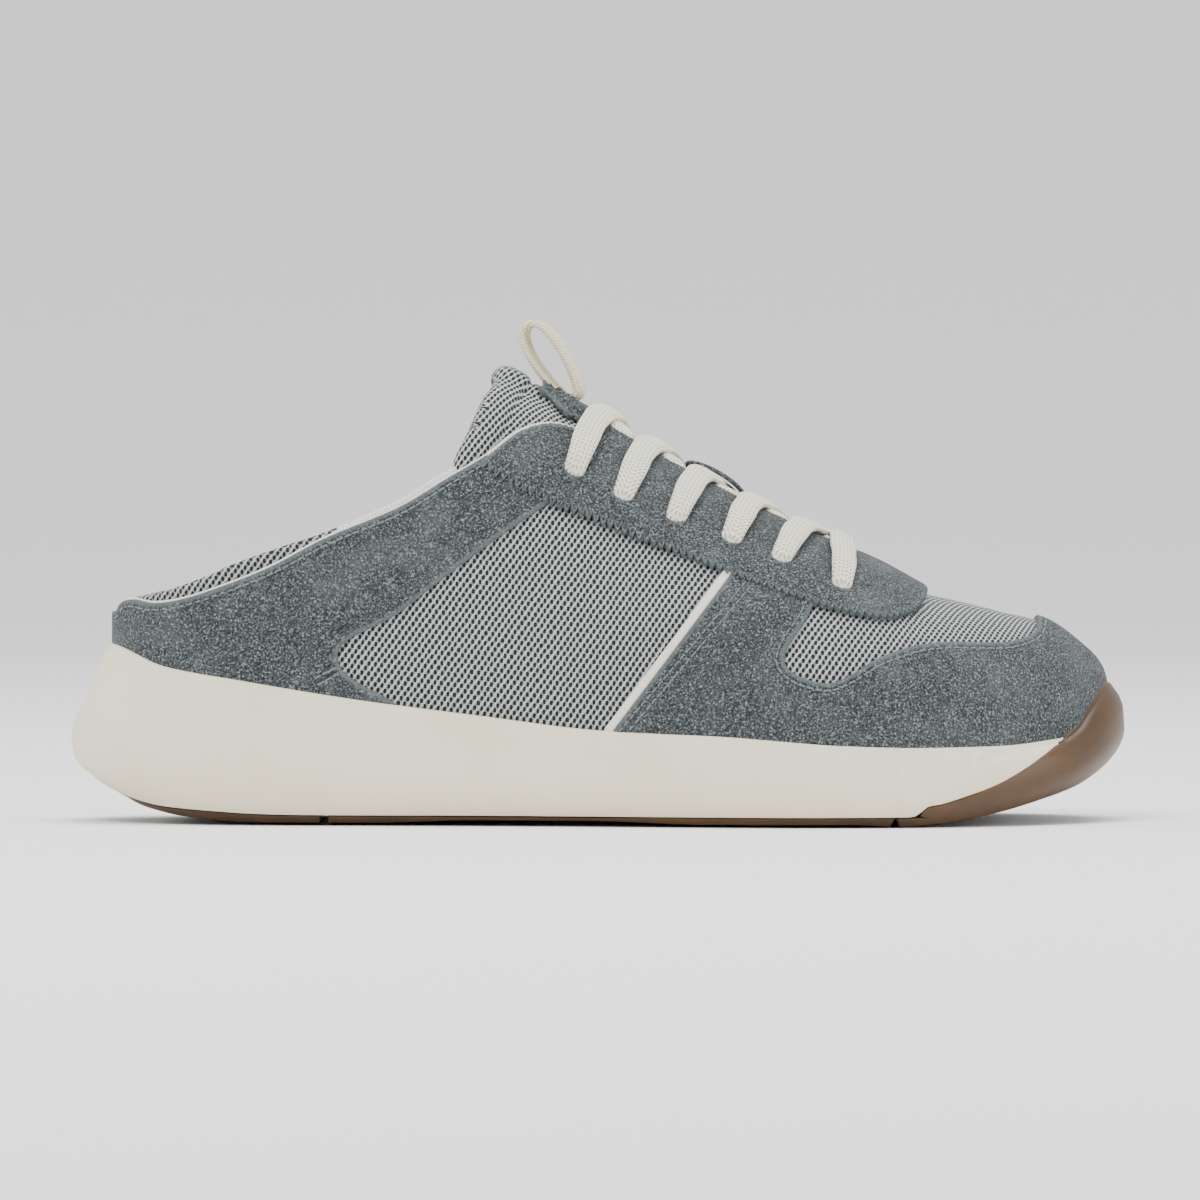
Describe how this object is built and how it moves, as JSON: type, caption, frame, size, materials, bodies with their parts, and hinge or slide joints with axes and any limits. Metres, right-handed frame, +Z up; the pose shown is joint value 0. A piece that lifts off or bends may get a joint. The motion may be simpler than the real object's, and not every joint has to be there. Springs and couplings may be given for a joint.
{
  "type": "slip-on shoe",
  "caption": "Low-backed lace-up mule trainer for the right foot, with an open collar, a padded tongue with a pull loop and a thick foam sole.",
  "frame": {"origin": "middle of the part's box, on the ground under the sole", "axes": "+X towards the toe, +Y towards the medial side, +Z up"},
  "size_m": [0.2854, 0.1069, 0.135],
  "materials": {
    "foam": "matt moulded foam with a fine diagonal texture",
    "gum": "satin gum rubber",
    "insole_cloth": "brushed textile",
    "mesh": "open knitted mesh",
    "suede": "brushed suede",
    "tape": "smooth matt edge tape",
    "lining": "knitted lining",
    "webbing": "woven webbing",
    "lace": "woven cotton"
  },
  "bodies": {
    "root": {"midsole": "foam", "outsole": "gum", "insole": "insole_cloth", "textile_upper": "mesh", "quarter_overlay": "suede", "toe_overlay": "suede", "eyestay": "suede", "side_strip_lateral": "tape", "side_strip_medial": "tape", "collar_lining": "lining", "tongue": "mesh", "tongue_patch": "suede", "lace_keeper": "suede", "pull_loop": "webbing", "lace_crossing_1": "lace", "lace_crossing_2": "lace", "lace_crossing_3": "lace", "lace_crossing_4": "lace", "lace_crossing_5": "lace", "lace_bar": "lace"}
  },
  "joints": []
}
